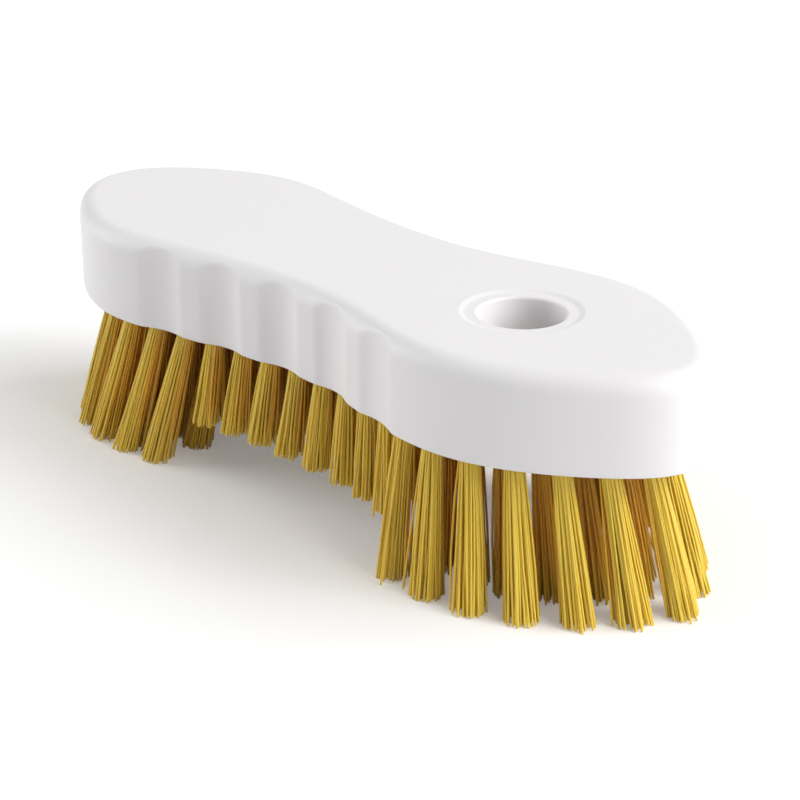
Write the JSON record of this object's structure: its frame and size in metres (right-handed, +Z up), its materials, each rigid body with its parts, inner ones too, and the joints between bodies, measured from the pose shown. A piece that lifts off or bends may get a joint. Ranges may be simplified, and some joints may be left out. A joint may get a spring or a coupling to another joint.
{
  "type": "scrub brush",
  "caption": "Hand scrub brush: waisted moulded block with finger grooves and a hanging hole, set with leaning tufts of stiff bristle, trimmed shorter under the waist.",
  "frame": {"origin": "middle of the brush's length and width, on the plane of the long tufts' trimmed ends", "axes": "+X along the block towards the toe with the hanging hole, +Y across the block, +Z up, from the bristle ends to the block's top face"},
  "size_m": [0.204, 0.0746, 0.0578],
  "materials": {
    "block_plastic": "satin moulded polypropylene",
    "bristle": "drawn polyester filament",
    "staple_wire": "flattened drawn wire"
  },
  "bodies": {
    "root": {"block": "block_plastic", "staples_inner": "staple_wire", "staples_middle": "staple_wire", "staples_outer": "staple_wire", "tuft_outer_01": "bristle", "tuft_outer_02": "bristle", "tuft_outer_03": "bristle", "tuft_outer_04": "bristle", "tuft_outer_05": "bristle", "tuft_outer_06": "bristle", "tuft_outer_07": "bristle", "tuft_outer_08": "bristle", "tuft_outer_09": "bristle", "tuft_outer_10": "bristle", "tuft_outer_11": "bristle", "tuft_outer_12": "bristle", "tuft_outer_13": "bristle", "tuft_outer_14": "bristle", "tuft_outer_15": "bristle", "tuft_outer_16": "bristle", "tuft_outer_17": "bristle", "tuft_outer_18": "bristle", "tuft_outer_19": "bristle", "tuft_outer_20": "bristle", "tuft_outer_21": "bristle", "tuft_outer_22": "bristle", "tuft_outer_23": "bristle", "tuft_outer_24": "bristle", "tuft_outer_25": "bristle", "tuft_outer_26": "bristle", "tuft_outer_27": "bristle", "tuft_outer_28": "bristle", "tuft_outer_29": "bristle", "tuft_outer_30": "bristle", "tuft_outer_31": "bristle", "tuft_outer_32": "bristle", "tuft_outer_33": "bristle", "tuft_outer_34": "bristle", "tuft_outer_35": "bristle", "tuft_outer_36": "bristle", "tuft_outer_37": "bristle", "tuft_outer_38": "bristle", "tuft_outer_39": "bristle", "tuft_outer_40": "bristle", "tuft_outer_41": "bristle", "tuft_outer_42": "bristle", "tuft_outer_43": "bristle", "tufts_inner_heel": "bristle", "tufts_inner_toe": "bristle", "tufts_inner_waist": "bristle", "tufts_middle_heel": "bristle", "tufts_middle_waist": "bristle"}
  },
  "joints": []
}
